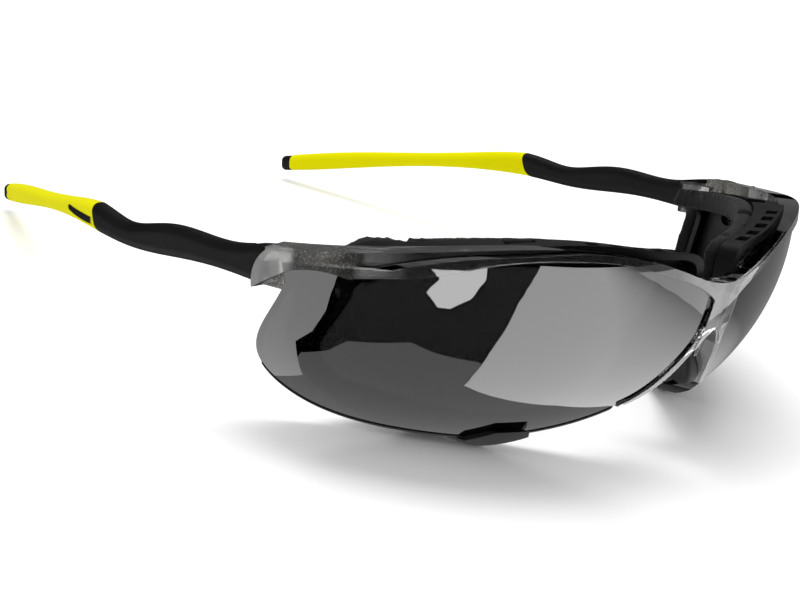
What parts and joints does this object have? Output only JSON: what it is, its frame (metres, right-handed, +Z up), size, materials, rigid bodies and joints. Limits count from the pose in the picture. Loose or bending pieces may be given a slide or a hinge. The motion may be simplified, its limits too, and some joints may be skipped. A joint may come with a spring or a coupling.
{
  "type": "safety glasses",
  "caption": "Wrap-around safety glasses: smoke half-rim front, two tinted lenses, foam-lined gasket and folding waved temples with bright soft sleeves.",
  "frame": {"origin": "middle of the bounding box in X and Y, on the surface the glasses stand on", "axes": "+X to the wearer's left, +Y from the lenses back along the open temples, +Z up with the glasses standing on the lens clips and temple tips"},
  "size_m": [0.1398, 0.171, 0.047],
  "materials": {
    "smoke_frame": "clear smoke-tinted polycarbonate, polished",
    "smoke_lens": "grey-tinted polycarbonate, polished, hard coated",
    "gasket_black": "black moulded elastomer, satin",
    "foam_black": "black closed-cell foam",
    "pad_rubber": "soft black rubber, matt",
    "screw_steel": "stainless, slotted head",
    "arm_black": "black moulded nylon, fine satin texture",
    "sleeve_yellow": "bright yellow soft-touch elastomer, matt"
  },
  "bodies": {
    "front": {"front_frame": "smoke_frame", "lens_left": "smoke_lens", "gasket_left": "gasket_black", "foam_seal_left": "foam_black", "lens_clip_left": "gasket_black", "nose_pad_left": "pad_rubber", "hinge_screw_left": "screw_steel", "lens_right": "smoke_lens", "gasket_right": "gasket_black", "foam_seal_right": "foam_black", "lens_clip_right": "gasket_black", "nose_pad_right": "pad_rubber", "hinge_screw_right": "screw_steel"},
    "temple_left": {"temple_arm_left": "arm_black", "temple_sleeve_left": "sleeve_yellow", "tip_cap_left": "arm_black"},
    "temple_right": {"temple_arm_right": "arm_black", "temple_sleeve_right": "sleeve_yellow", "tip_cap_right": "arm_black"}
  },
  "joints": [
    {"name": "temple_left_fold", "type": "hinge", "parent": "front", "child": "temple_left", "pos_m": [0.0646, -0.03019, 0.03161], "axis": [0, 0.1822, 0.9833], "range_deg": [0, 82]},
    {"name": "temple_right_fold", "type": "hinge", "parent": "front", "child": "temple_right", "pos_m": [-0.0646, -0.03019, 0.03161], "axis": [0, -0.1822, -0.9833], "range_deg": [0, 73]}
  ]
}
